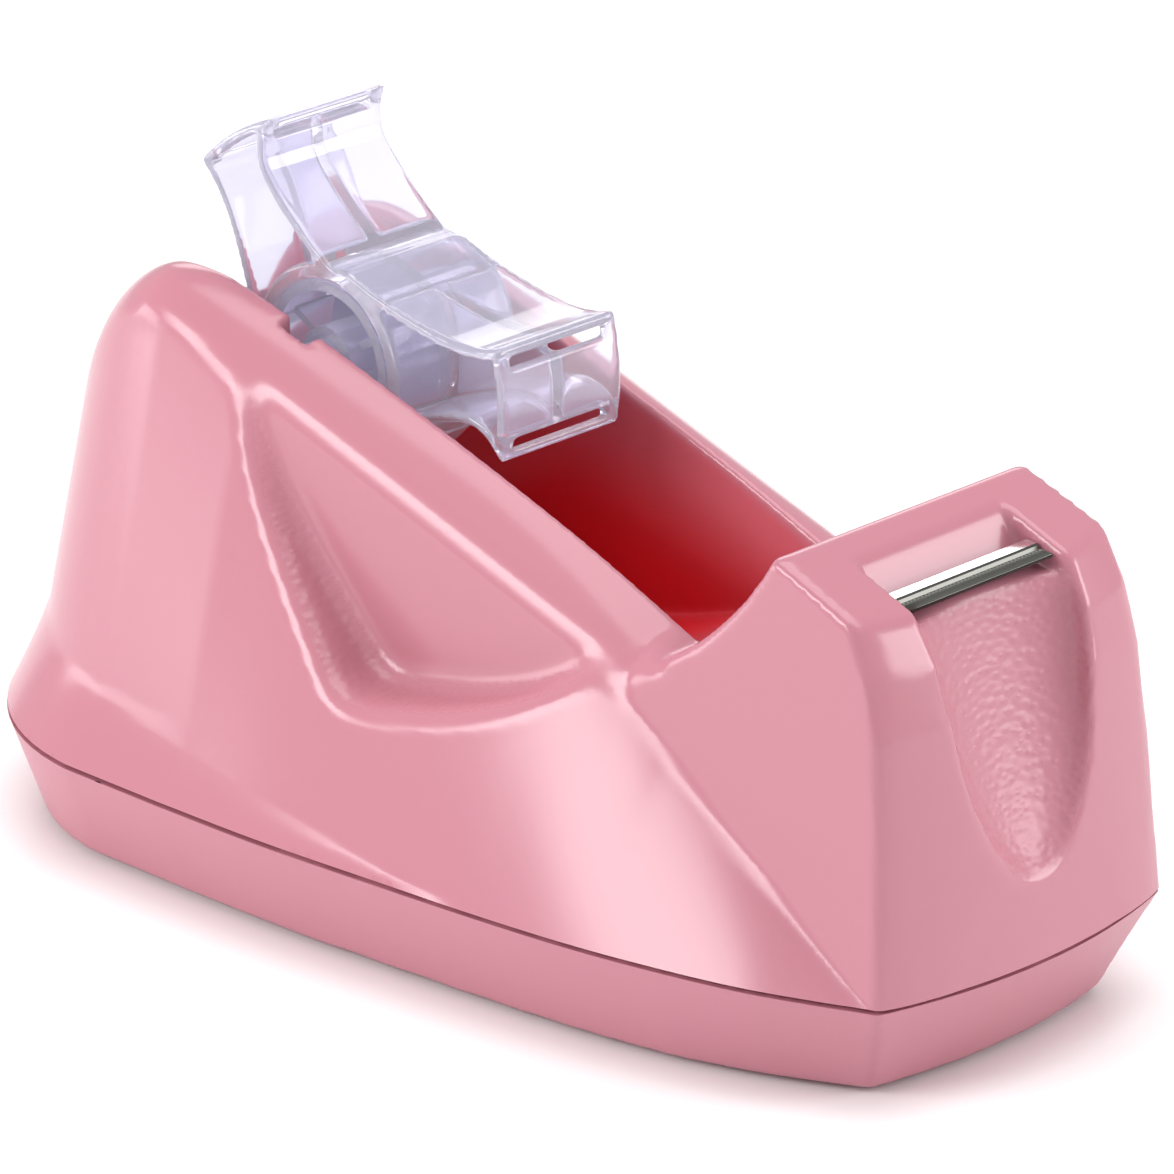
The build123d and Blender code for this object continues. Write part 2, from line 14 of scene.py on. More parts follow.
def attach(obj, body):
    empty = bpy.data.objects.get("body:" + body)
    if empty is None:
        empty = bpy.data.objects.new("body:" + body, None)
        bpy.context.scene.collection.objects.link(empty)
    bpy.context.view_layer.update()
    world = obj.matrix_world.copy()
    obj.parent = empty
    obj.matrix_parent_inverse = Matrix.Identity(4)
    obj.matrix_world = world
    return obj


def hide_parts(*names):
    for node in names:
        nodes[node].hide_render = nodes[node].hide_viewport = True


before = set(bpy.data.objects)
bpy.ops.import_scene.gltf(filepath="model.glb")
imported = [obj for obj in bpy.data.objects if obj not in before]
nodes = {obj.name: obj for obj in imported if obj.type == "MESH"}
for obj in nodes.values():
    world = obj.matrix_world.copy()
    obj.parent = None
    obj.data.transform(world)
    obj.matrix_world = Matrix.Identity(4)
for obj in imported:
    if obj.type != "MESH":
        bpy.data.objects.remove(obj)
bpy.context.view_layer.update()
MM = 0.001

# ---------------------------------------------------------------- shape of the body, in millimetres

PARTING_Z = 17.0  # line where the upper shell meets the base tray
GAP = 0.35  # half the groove between shell and tray
BOX_FIT = (0.9988, 0.9965, 1.0)  # keeps the rounded forms inside the CAD model's box
HUB_X = -35.85
HUB_Z = 78.5

# Plan of the flared hull. Half-ellipses at the rear: centre x, half-axis along x, half-axis across
REAR_FOOT = (-51.4, 47.95, 50.4)
REAR_WAIST = (-53.6, 36, 28.5)
REAR_WAIST_Z = 71  # height of the waist at the very back
REAR_WAIST_RISE = 11  # and how much higher it is at the sides
WAIST_HALF = 28.5
WAIST_BLEND = (36, 52)  # stretch of x where the waist runs into the block's facets
REAR_ANGLES = range(0, 88, 4)
# Stations along the side: x, half-width at the parting line, height where the flare starts
SIDE_STATIONS = (
    (-36, 50.4, 82),
    (-16, 50.2, 76.5),
    (3, 49.1, 69.5),
    (26, 47.3, 61),
    (44, 45.4, 50.6),
    (59, 42.8, 40.6),
    (74, 39.2, 30.6),
    (86, 34.8, 22.3),
    (92, 32.2, 18),
)
NOSE = (98, 27)
SKIRT_SHARE = 0.73  # at the rear, the part of the spread that is reached above the skirt's crease

# Cutter block at the front
BLOCK_REAR = (69.35, 79.0)  # top rear edge: x, z
BLOCK_FRONT = (84.75, 73.1)  # top front edge: x, z
BLOCK_TAIL_X = 25
BLOCK_HALF = 27.2  # half-width at the top rear edge
FACET_TOE = 0.0145  # the side facets spread this much for each mm forward
FACET_TAPER = 0.0636  # and this much for each mm down
# Corner ridge of the front face: height, x, and how far the face bows out in the middle
BLOCK_LEVELS = ((17.3, 94.4, 4.9), (41.5, 92.7, 4.0), (56.5, 91.1, 3.4), (65.5, 88.9, 3.0), (84.0, 79.3, 2.4))
FRONT_STEEPNESS = 0.97  # turns distances along x into distances from the leaning front
HULL_STEEPNESS = 0.96

# Top of the body in side view, from the rear over the hump to the valley behind the block
SIDE_VIEW = (
    (-97, 40),
    (-88.5, 65.5),
    (-79, 78.7),
    (-66.5, 87.9),
    (-57.0, 90.0),
    (-43.8, 87.7),
    (-18.6, 80.6),
    (15.5, 69.8),
    (46.75, 56.7),
)
VALLEY = SIDE_VIEW[-1]
VALLEY_RISE = (59.9, 66.3)  # on the arc from the valley up to the block

# Tape well, with the slots for the axle
WELL_HALF = 17.2
WELL_R = 46
WELL_END_ANGLE = -80  # where the round well turns into the ramp
RAMP_REACH = 78
RAMP_START = (0.985, 0.174)  # directions of the ramp at its two ends
RAMP_END = (0.84, 0.54)
SLOT_HALF = 2.75
SLOT_DEPTH = 2.4
SLOT_BOTTOM = 3.5  # below the hub's centre

# Opening for the cutter, and the scoop below it as a leaning ellipsoid
RECESS_VIEW = ((75, 76.9), (78.3, 71.2), (80, 70.2), (84.5, 69.4), (93, 69), (93, 82), (75, 82))
RECESS_HALF = 16
SCOOP_CENTRE = (88.3, 72)
SCOOP_RADII = (5.2, 16.3, 42.5)
SCOOP_TILT = math.radians(-13)

# Finger rest in side view: its upper edge first, then its lower edge from front to rear
GRIP_VIEW = (
    (-38.5, 80.5),
    (38.5, 54.5),
    (26.4, 47.4),
    (15, 43.1),
    (6, 41),
    (-1.7, 39.7),
    (-7, 40.5),
    (-12.5, 45.2),
    (-27.9, 62.2),
)
GRIP_HALF = 28.4
CROWN_TILT = math.radians(36)  # slant of the wall tops, down to the finger rest's upper edge

TRAY_HEIGHT = 16
TRAY_TOE = (5.6, 8.6)  # how far the foot is drawn in along the sides, and at the nose
TONGUE_INSET = 2.4


def facet_half(x, z):
    """Half-width of the cutter block."""
    return BLOCK_HALF + FACET_TOE * (x - BLOCK_REAR[0]) + FACET_TAPER * (BLOCK_REAR[1] - z)


def share(value, low, high):
    return min(max((value - low) / (high - low), 0), 1)


def flare(drop, x, top):
    """Share of the spread from waist to foot, with a skirt below a crease that runs down towards the front."""
    straight = min(max(SKIRT_SHARE + (1 - SKIRT_SHARE) * (x + 60) / 85, SKIRT_SHARE), 1.0)
    crease = min((top - 33 + 0.13 * (x + 99)) / (top - PARTING_Z), 0.97)
    kick = max(drop - crease, 0) / (1 - crease)
    return straight * drop + (1 - straight) * kick**1.3


def smooth_line(points, pieces=4):
    """Catmull-Rom points through a polyline."""
    p = np.array([points[0]] + list(points) + [points[-1]], dtype=float)
    p[0] = 2 * p[1] - p[2]
    p[-1] = 2 * p[-2] - p[-3]
    t = np.linspace(0, 1, pieces, endpoint=False)[:, None]
    out = []
    for a, b, c, d in zip(p, p[1:], p[2:], p[3:]):
        out.append(b + 0.5 * t * (c - a + t * (2 * a - 5 * b + 4 * c - d + t * (3 * (b - c) + d - a))))
    return np.vstack(out + [p[-2:-1]])


SIDE_LINE = smooth_line(SIDE_STATIONS, 6)


def plan_points(z):
    """The flared body's plan at one height, from the rear centre along one side to the nose."""
    points = []
    for angle in REAR_ANGLES:
        along, across = math.cos(math.radians(angle)), math.sin(math.radians(angle))
        foot = (REAR_FOOT[0] - REAR_FOOT[1] * along, REAR_FOOT[2] * across)
        waist = (REAR_WAIST[0] - REAR_WAIST[1] * along, REAR_WAIST[2] * across)
        top = REAR_WAIST_Z + REAR_WAIST_RISE * across**2
        spread = flare(share(z, top, PARTING_Z), foot[0], top)
        lean = 1 - 0.006 * max(0, z - top)
        x = waist[0] * lean + REAR_WAIST[0] * (1 - lean)
        y = waist[1] * lean
        points.append((x + (foot[0] - waist[0]) * spread, y + (foot[1] - y) * spread))
    for x, foot_half, top in SIDE_LINE:
        spread = flare(share(z, top, PARTING_Z), x, top)
        facet = facet_half(x, z)
        waist_half = 0.5 * (facet + WAIST_HALF + math.hypot(facet - WAIST_HALF, 1.2))
        inside = share(x, *WAIST_BLEND)
        waist_half = waist_half * (1 - inside) + (facet - 0.4) * inside - 0.03 * max(0, z - top)
        points.append((x, waist_half + (foot_half - waist_half) * spread))
    return points


def closed_plan(half):
    """A whole outline from the points of its one side."""
    return np.vstack((half, half[::-1] * (1, -1)))


def arc(centre, radius, start, end, pieces=24):
    angle = np.radians(np.linspace(start, end, pieces))
    return np.column_stack((centre[0] + radius * np.cos(angle), centre[1] + radius * np.sin(angle)))


def arc_through(a, b, c, pieces=14):
    """Points of the arc from a through b to c."""
    ax, ay, bx, by, cx, cy = *a, *b, *c
    d = 2 * (ax * (by - cy) + bx * (cy - ay) + cx * (ay - by))
    ux = ((ax**2 + ay**2) * (by - cy) + (bx**2 + by**2) * (cy - ay) + (cx**2 + cy**2) * (ay - by)) / d
    uy = ((ax**2 + ay**2) * (cx - bx) + (bx**2 + by**2) * (ax - cx) + (cx**2 + cy**2) * (bx - ax)) / d
    turns = [math.atan2(y - uy, x - ux) for x, y in (a, b, c)]
    full = (turns[2] - turns[0]) % (2 * math.pi)
    if (turns[1] - turns[0]) % (2 * math.pi) > full:
        full -= 2 * math.pi
    angle = turns[0] + full * np.linspace(0, 1, pieces)
    radius = math.hypot(ax - ux, ay - uy)
    return np.column_stack((ux + radius * np.cos(angle), uy + radius * np.sin(angle)))


def hermite(start, end, start_slope, end_slope, pieces):
    """Points of a smooth curve between two ends with given slopes, without its first point."""
    t = np.linspace(0, 1, pieces)[1:, None]
    return (
        (2 * t**3 - 3 * t**2 + 1) * np.array(start)
        + (t**3 - 2 * t**2 + t) * np.array(start_slope)
        + (3 * t**2 - 2 * t**3) * np.array(end)
        + (t**3 - t**2) * np.array(end_slope)
    )


# ---------------------------------------------------------------- fields: distances, negative inside a shape


def polygon_distance(px, py, outline):
    """Distance from points to a closed outline, negative inside."""
    q = np.asarray(outline, dtype=float)
    best = np.full(px.shape, 1e9)
    inside = np.zeros(px.shape, dtype=bool)
    for (ax, ay), (bx, by) in zip(q, np.roll(q, -1, axis=0)):
        ex, ey = bx - ax, by - ay
        length = ex * ex + ey * ey
        if length < 1e-12:
            continue
        wx, wy = px - ax, py - ay
        t = np.clip((wx * ex + wy * ey) / length, 0, 1)
        best = np.minimum(best, (wx - t * ex) ** 2 + (wy - t * ey) ** 2)
        if ay != by:
            inside ^= ((ay > py) != (by > py)) & (px < ex * (py - ay) / ey + ax)
    return np.where(inside, -1, 1) * np.sqrt(best)


def meet(a, b, r):
    """Where both shapes are, with their common edge rounded to a radius."""
    return np.minimum(np.maximum(a, b), -r) + np.hypot(np.maximum(a + r, 0), np.maximum(b + r, 0))


def join(a, b, r):
    """Both shapes together, with a fillet between them."""
    return -meet(-a, -b, r)


def side_field(axes, outline):
    """Distance to an outline drawn in side view, at every point of a grid."""
    plane_x, plane_z = np.meshgrid(axes[0], axes[2], indexing="ij")
    distance = polygon_distance(plane_x, plane_z, outline)[:, None, :]
    return np.broadcast_to(distance, [len(line) for line in axes])


def spaced(*runs):
    """Grid lines in runs of (start, end, step), each run starting where the last one ended."""
    lines = [np.linspace(low, high, max(2, round((high - low) / step) + 1))[:-1] for low, high, step in runs]
    return np.concatenate(lines + [[runs[-1][1]]])


def sample(field, axes, points):
    """The field's values at points, given from y = 0 outwards."""
    spots = []
    for k, line in enumerate(axes):
        value = np.abs(points[:, k]) if k == 1 else points[:, k]
        spots.append(np.interp(value, line, np.arange(len(line))))
    low = [np.minimum(np.floor(s).astype(int), len(line) - 2) for s, line in zip(spots, axes)]
    part = [s - l for s, l in zip(spots, low)]
    total = 0
    for i in (0, 1):
        for j in (0, 1):
            for k in (0, 1):
                weight = 1
                for p, corner in zip(part, (i, j, k)):
                    weight = weight * (p if corner else 1 - p)
                total = total + weight * field[low[0] + i, low[1] + j, low[2] + k]
    return total


def soft_step(value, low, high):
    t = np.clip((value - low) / (high - low), 0, 1)
    return t * t * (3 - 2 * t)


# ---------------------------------------------------------------- meshes


def surface_net(field, axes):
    """Points and quads of the surface where the field is zero."""
    shape = np.array(field.shape) - 1
    flat = int(np.prod(shape))
    total = np.zeros((3, flat))
    count = np.zeros(flat)
    edges = []
    for axis in range(3):
        a = field.take(range(field.shape[axis] - 1), axis)
        b = field.take(range(1, field.shape[axis]), axis)
        where = np.argwhere((a < 0) != (b < 0))
        va, vb = a[tuple(where.T)], b[tuple(where.T)]
        spot = where.astype(float)
        spot[:, axis] += va / (va - vb)
        u, v = (axis + 1) % 3, (axis + 2) % 3
        cells = []
        for du, dv in ((1, 1), (0, 1), (0, 0), (1, 0)):
            cell = where.copy()
            cell[:, u] -= du
            cell[:, v] -= dv
            index = np.ravel_multi_index(tuple(cell.T), shape)
            cells.append(index)
            count += np.bincount(index, minlength=flat)
            for k in range(3):
                total[k] += np.bincount(index, weights=spot[:, k], minlength=flat)
        quad = np.stack(cells, axis=1)
        quad[va > 0] = quad[va > 0][:, ::-1]
        edges.append(quad)
    used = np.flatnonzero(count)
    number = np.full(flat, -1)
    number[used] = np.arange(len(used))
    places = (total[:, used] / count[used]).T
    points = np.column_stack([np.interp(places[:, k], np.arange(len(axes[k])), axes[k]) for k in range(3)])
    return points, number[np.vstack(edges)]


def mirrored_net(field, axes):
    """The surface of a field given from y = 0 outwards, and of its other side."""
    whole = np.concatenate((field[:, :0:-1], field), axis=1)
    across = np.concatenate((-axes[1][:0:-1], axes[1]))
    return surface_net(whole, (axes[0], across, axes[2]))


def relaxed(points, quads, rounds):
    """The net with its grid steps ironed out, without shrinking it."""
    links = np.vstack((quads[:, (0, 1)], quads[:, (1, 2)], quads[:, (2, 3)], quads[:, (3, 0)]))
    links = np.vstack((links, links[:, ::-1]))
    start, end = links.T
    count = np.bincount(start, minlength=len(points))[:, None]
    for _ in range(rounds):
        for weight in (0.5, -0.52):
            sums = [np.bincount(start, weights=points[end, k], minlength=len(points)) for k in range(3)]
            points = points + weight * (np.column_stack(sums) / count - points)
    return points


def pulled_to_rim(points, quads, level, distance):
    """Points near a level laid on it, with the edge of that flat face drawn exactly onto the outline."""
    points = points.copy()
    flat = np.abs(points[:, 2] - level) < 0.3
    points[flat & (distance(points) > -1.4), 2] = level
    on_face = (np.abs(points[:, 2][quads] - level) < 1e-6).all(axis=1)
    edge = np.zeros(len(points), dtype=bool)
    edge[np.intersect1d(quads[on_face], quads[~on_face])] = True
    face = np.zeros(len(points), dtype=bool)
    face[quads[on_face]] = True
    wall = ~face & (np.abs(points[:, 2] - level) < 2.6)
    for chosen, aim in ((edge, 0.0), (face & ~edge, -0.5), (wall, 0.0)):
        chosen = chosen & (distance(points) > -1.3)
        for _ in range(3):
            here = distance(points[chosen])
            slope = np.column_stack(
                [(distance(points[chosen] + step) - here) / 0.3 for step in ((0.3, 0, 0), (0, 0.3, 0))]
            )
            slope /= np.maximum((slope**2).sum(axis=1), 0.2)[:, None]
            move = here - aim if aim == 0 else np.maximum(here - aim, 0)
            points[chosen, :2] -= move[:, None] * slope
    return points


def mesh_object(name, points, faces, smooth=True):
    mesh = bpy.data.meshes.new(name)
    mesh.from_pydata((np.asarray(points) * MM).tolist(), [], np.asarray(faces).tolist())
    mesh.validate()
    mesh.update()
    mesh.polygons.foreach_set("use_smooth", [smooth] * len(mesh.polygons))
    if smooth:
        mesh.set_sharp_from_angle(angle=math.radians(52))
    obj = bpy.data.objects.new(name, mesh)
    bpy.context.scene.collection.objects.link(obj)
    return obj


def mask(obj, name, values):
    """A number from 0 to 1 for every point of the mesh, for its material."""
    layer = obj.data.attributes.new(name, "FLOAT", "POINT")
    layer.data.foreach_set("value", np.clip(values, 0, 1).astype(np.float32))


# ---------------------------------------------------------------- the upper shell


def body_field(xs, ys, zs):
    """Distance to the shell's outer form, hull and cutter block together."""
    x, y = np.meshgrid(xs, ys, indexing="ij")
    levels = np.array(BLOCK_LEVELS)
    field = np.empty((len(xs), len(ys), len(zs)))
    for k, z in enumerate(zs):
        level = min(max(z, PARTING_Z), 93)
        hull = polygon_distance(x, y, closed_plan(np.vstack((plan_points(level), [NOSE]))))
        corner = np.interp(level, levels[:, 0], levels[:, 1])
        bow = np.interp(level, levels[:, 0], levels[:, 2])
        front = x - (corner + bow * (1 - (y / facet_half(corner, level)) ** 2))
        block = meet(front * FRONT_STEEPNESS, y - facet_half(x, level), 1.2)
        block = np.maximum(block, BLOCK_TAIL_X - x)
        hull = meet(hull * HULL_STEEPNESS, front * FRONT_STEEPNESS, 1.6)
        field[:, :, k] = join(hull, block, 1.0)
    return field


def top_outline():
    """The body in side view, closed well below the parting line."""
    rise = arc_through(VALLEY, VALLEY_RISE, BLOCK_REAR)[1:]
    beyond = [BLOCK_FRONT, (111, 63), (111, -10), (-110, -10)]
    return np.vstack(([(-110, 30)], smooth_line(SIDE_VIEW, 6), rise, beyond))


def well_outline():
    """The tape well in side view: round under the hub, then a ramp up to the valley, and open above."""
    floor = arc((HUB_X, HUB_Z), WELL_R, -180, WELL_END_ANGLE)
    ramp = hermite(
        floor[-1], VALLEY, RAMP_REACH * np.array(RAMP_START), RAMP_REACH * np.array(RAMP_END), 20
    )
    return np.vstack((floor, ramp, [(47.5, 57.3), (60, 66.3), (60, 120), (HUB_X - WELL_R, 120)]))


def scoop_field(x, y, z):
    """About the distance to the leaning ellipsoid in front of the cutter."""
    dx, dz = x - SCOOP_CENTRE[0], z - SCOOP_CENTRE[1]
    ax = dx * math.cos(SCOOP_TILT) - dz * math.sin(SCOOP_TILT)
    az = dx * math.sin(SCOOP_TILT) + dz * math.cos(SCOOP_TILT)
    rx, ry, rz = SCOOP_RADII
    unit = np.sqrt((ax / rx) ** 2 + (y / ry) ** 2 + (az / rz) ** 2)
    slope = np.sqrt((ax / rx**2) ** 2 + (y / ry**2) ** 2 + (az / rz**2) ** 2) / np.maximum(unit, 1e-6)
    return (unit - 1) / np.maximum(slope, 1e-6)


def above_grip(x, z):
    """Distance above the finger rest's straight upper edge."""
    start, end = GRIP_VIEW[:2]
    run, rise = end[0] - start[0], end[1] - start[1]
    return ((z - start[1]) * run - (x - start[0]) * rise) / math.hypot(run, rise)


def shell_skin():
    axes = (
        spaced((-102.5, 72, 1.0), (72, 94, 0.72), (94, 103, 1.0)),
        spaced((0, 13.9, 0.9), (13.9, 20.4, 0.5), (20.4, 54, 1.12)),
        spaced((15.0, 19.4, 0.4), (19.4, 93, 1.0)),
    )
    x, y, z = np.meshgrid(*axes, indexing="ij")
    top = side_field(axes, top_outline())
    shell = meet(body_field(*axes), top, np.interp(x, (-60, -35, 30, 52), (6.5, 9.0, 7.5, 1.0)))

    well = meet(side_field(axes, well_outline()), y - WELL_HALF, 1.0)
    shell = meet(shell, -well, 0.9)
    slot = np.maximum(np.abs(x - HUB_X) - SLOT_HALF, HUB_Z - SLOT_BOTTOM - z)
    slot = np.maximum(slot, y - WELL_HALF - SLOT_DEPTH)
    shell = meet(shell, -slot, 0.4)

    before_scoop = shell
    recess = meet(side_field(axes, RECESS_VIEW), y - RECESS_HALF, 0.8)
    opening = join(recess, scoop_field(x, y, z), 1.2)
    shell = meet(shell, -opening, np.interp(z, (61, 67), (2.0, 0.9)))

    above = above_grip(x, z)
    crown = above * math.cos(CROWN_TILT) + (y - GRIP_HALF) * math.sin(CROWN_TILT)
    crown_end = np.interp(x, (42, 49, 60), (0, 5, 60))
    shell = meet(shell, crown - crown_end, 2.5)
    before_grip = shell
    lower_edge = smooth_line(GRIP_VIEW[1:] + GRIP_VIEW[:1], 5)
    grip = side_field(axes, np.vstack((lower_edge, [(-44, 110), (60, 110)])))
    grip = meet(grip, GRIP_HALF - y, 3.5)
    grip = meet(grip, above - 1.5, 0.8)
    outer_form = meet(shell, -grip, 2.8)
    shell = np.maximum(outer_form, PARTING_Z + GAP - z)

    points, quads = mirrored_net(shell, axes)
    points = relaxed(points, quads, 5)
    points = pulled_to_rim(points, quads, PARTING_Z + GAP, lambda p: sample(outer_form, axes, p))
    points *= BOX_FIT
    piece = mesh_object("shell_skin", points, quads)

    across = np.abs(points[:, 1])
    in_scoop = soft_step(-sample(before_scoop, axes, points), 0.5, 1.1) * (points[:, 0] > 83)
    in_grip = soft_step(-sample(before_grip, axes, points), 0.5, 1.3)
    in_band = soft_step(across, GRIP_HALF + 0.1, GRIP_HALF + 0.8)
    in_band = in_band * (1 - soft_step(sample(above, axes, points), -1.5, -0.4))
    mask(piece, "grain", np.maximum(in_scoop * (points[:, 2] < 69), 0.5 * in_grip * in_band))
    # Painted shade: the well turns deep red, more so the further below the top it lies.
    in_well = (1 - soft_step(sample(well, axes, points), 0.4, 1.0)) * (across < WELL_HALF + 0.6)
    depth = -sample(top, axes, points)
    mask(piece, "painted_shade", in_well * (0.35 * soft_step(depth, 0.5, 3) + 0.65 * soft_step(depth, 3, 26)))
    return piece


# ---------------------------------------------------------------- the base tray


def tray_skin():
    """The same plan as the shell's, drawn in towards its foot, with a tongue up inside the groove."""
    axes = (
        spaced((-102.5, 102.5, 1.0)),
        spaced((0, 54, 1.0)),
        spaced((-1, 3.2, 0.6), (3.2, 14, 1.2), (14, 19.2, 0.4)),
    )
    x, _, z = np.meshgrid(*axes, indexing="ij")
    corner, bow = BLOCK_LEVELS[0][1:]
    half_front = 31.4
    front = [(corner + bow * (1 - (y / half_front) ** 2), y) for y in np.linspace(half_front, 0, 9)]
    plan_x, plan_y = np.meshgrid(*axes[:2], indexing="ij")
    rim = np.vstack((plan_points(PARTING_Z), front))
    plan = polygon_distance(plan_x, plan_y, closed_plan(rim))[:, :, None]
    drawn_in = np.clip((PARTING_Z - z) / TRAY_HEIGHT, 0, 1) * np.interp(x, (60, 94), TRAY_TOE)
    outer_form = meet(plan + drawn_in, 1.0 - z, 0.8)
    tray = np.maximum(outer_form, z - PARTING_Z + GAP)
    tongue = np.maximum(z - PARTING_Z - 0.6, PARTING_Z - 4 - z)
    tray = np.minimum(tray, np.maximum(plan + TONGUE_INSET, tongue))

    points, quads = mirrored_net(tray, axes)
    points = relaxed(points, quads, 3)
    points = pulled_to_rim(points, quads, PARTING_Z - GAP, lambda p: sample(outer_form, axes, p))
    points *= BOX_FIT
    piece = mesh_object("tray_skin", points, quads)
    # Painted shade: the tongue inside the groove between shell and tray is coloured deep red.
    mask(piece, "painted_shade", (points[:, 2] > PARTING_Z - GAP + 0.1).astype(float))
    mask(piece, "grain", np.zeros(len(points)))
    return piece


# ---------------------------------------------------------------- the cutter

# Top of the blade from its back edge, over the polished bar, to the toothed edge: x, z
BLADE_PROFILE = (
    (78.9, 71.3),
    (79.8, 72.55),
    (80.3, 72.85),
    (82.15, 72.75),
    (82.5, 72.5),
    (82.75, 72.0),
    (83.1, 72.0),
    (83.8, 71.95),
    (84.6, 71.9),
    (85.3, 71.85),
)
BAR_ROWS = (2, 3)  # the polished bar lies between these points of the profile
TEETH_ROW = 5  # the teeth grow from this one
BLADE_HALF = 15.5
BLADE_THICKNESS = 0.5
TOOTH_PITCH = 0.775
TOOTH_DEPTH = 0.9
TOOTH_DROP = 0.45


def blade_strip():
    across = np.linspace(-BLADE_HALF, BLADE_HALF, round(4 * BLADE_HALF / TOOTH_PITCH) + 1)
    notch = np.arange(len(across)) % 2
    top = []
    for i, (x, z) in enumerate(BLADE_PROFILE):
        toothed = max(0, i - TEETH_ROW) / (len(BLADE_PROFILE) - 1 - TEETH_ROW)
        cut_x = x - TOOTH_DEPTH * notch * toothed**3
        cut_z = z - TOOTH_DROP * notch * min(1, 2 * toothed)
        top.append(np.column_stack((cut_x, across, cut_z)))
    top = np.array(top)
    points = np.vstack((top.reshape(-1, 3), (top - (0, 0, BLADE_THICKNESS)).reshape(-1, 3)))
    rows, columns = top.shape[:2]
    low = rows * columns
    faces = []
    for i in range(rows - 1):
        for j in range(columns - 1):
            a = i * columns + j
            faces.append((a, a + columns, a + columns + 1, a + 1))
            faces.append((low + a, low + a + 1, low + a + columns + 1, low + a + columns))
        for a, flip in ((i * columns, 1), (i * columns + columns - 1, 0)):
            side = (a, low + a, low + a + columns, a + columns)
            faces.append(side if flip else side[::-1])
    for j in range(columns - 1):
        tip = (rows - 1) * columns + j
        faces.append((j, j + 1, low + j + 1, low + j))
        faces.append((tip, low + tip, low + tip + 1, tip + 1))
    return mesh_object("blade_strip", points, faces, smooth=False)


# ---------------------------------------------------------------- the clear hub

TUBE_R = 15.3
BORE_R = 12.65
TIP_R = 37.6
TIP_HALF_ANGLE = 13.8
HUB_HALF = 12.7
ARM_WALL = 1.6
ARM_ANGLE = 2.7  # the first arm's angle above +X at rest
# The two sides of an arm that points along +X from the hub's centre
ARM_BACK = ((4.2, 14.6), (16.5, 10.7), (25.9, 8.5), (32.2, 8.2), (36.51, 8.97))
ARM_FRONT = ((36.51, -8.97), (33.6, -5.7), (30.4, -4.3), (26.0, -4.6), (19.6, -6.2), (13.6, -8.2))
TIP_SLOT_OFFSET = 6.3
TIP_SLOT_HALF = 9.4
TIP_SLOT_R = 0.9
HUB_STEP = 0.55


def arm_outline():
    pad = arc((0, 0), TIP_R, TIP_HALF_ANGLE, -TIP_HALF_ANGLE, 14)[1:-1]
    return np.vstack((smooth_line(ARM_BACK, 6), pad, smooth_line(ARM_FRONT, 6), [(0, 0)]))


def adapter_clear():
    axes = (
        spaced((HUB_X - 40, HUB_X + 40, HUB_STEP)),
        spaced((0, 14.3, HUB_STEP)),
        spaced((HUB_Z - 40, HUB_Z + 40, HUB_STEP)),
    )
    x, z = np.meshgrid(axes[0] - HUB_X, axes[2] - HUB_Z, indexing="ij")
    y = axes[1][None, :, None]
    ring = np.hypot(x, z)
    outline = arm_outline()
    outer = ring - TUBE_R
    pocket = np.full(x.shape, 1e3)
    slots = np.full([len(line) for line in axes], 1e3)
    for turn in range(3):
        angle = math.radians(ARM_ANGLE + 120 * turn)
        u = x * math.cos(angle) + z * math.sin(angle)
        v = z * math.cos(angle) - x * math.sin(angle)
        arm = polygon_distance(u, v, outline)
        outer = join(outer, arm, 1.0)
        pocket = np.minimum(pocket, meet(arm + ARM_WALL, TUBE_R - ring, 0.6))
        across = np.abs(np.abs(v) - TIP_SLOT_OFFSET)[:, None, :]
        along = np.maximum(y - TIP_SLOT_HALF, 0)
        slots = np.minimum(slots, np.maximum(np.hypot(across, along) - TIP_SLOT_R, (34 - u)[:, None, :]))
    adapter = meet(outer[:, None, :], y - HUB_HALF, 0.45)
    hollow = meet(np.broadcast_to(pocket[:, None, :], slots.shape), 1.0 - y, 0.5)
    adapter = meet(adapter, -hollow, 0.35)
    adapter = meet(adapter, (BORE_R - ring)[:, None, :], 0.4)
    adapter = meet(adapter, -slots, 0.3)
    points, quads = mirrored_net(adapter, axes)
    return mesh_object("adapter_clear", relaxed(points, quads, 3), quads)


shell_piece = shell_skin()
tray_piece = tray_skin()
blade_piece = blade_strip()
adapter_piece = adapter_clear()

# ---------------------------------------------------------------- materials

PINK = (0.50, 0.195, 0.245, 1)
# Deep red painted shade, mixed into the pink down in the tape well and in the groove between shell and tray.
PAINTED_SHADE_RED = (0.72, 0.025, 0.035, 1)
GRAIN_ROUGHNESS = 0.36
GRAIN_STRETCH = (1.0, 0.65, 1.0)
GRAIN_SCALE = 950
GRAIN_DEPTH = 0.0002


def material(name, **values):
    mat = bpy.data.materials.new(name)
    mat.use_nodes = True
    shader = mat.node_tree.nodes["Principled BSDF"]
    for key, value in values.items():
        shader.inputs[key.replace("_", " ")].default_value = value
    return mat


def mesh_mask(tree, name):
    node = tree.nodes.new("ShaderNodeAttribute")
    node.attribute_name = name
    return node.outputs["Fac"]


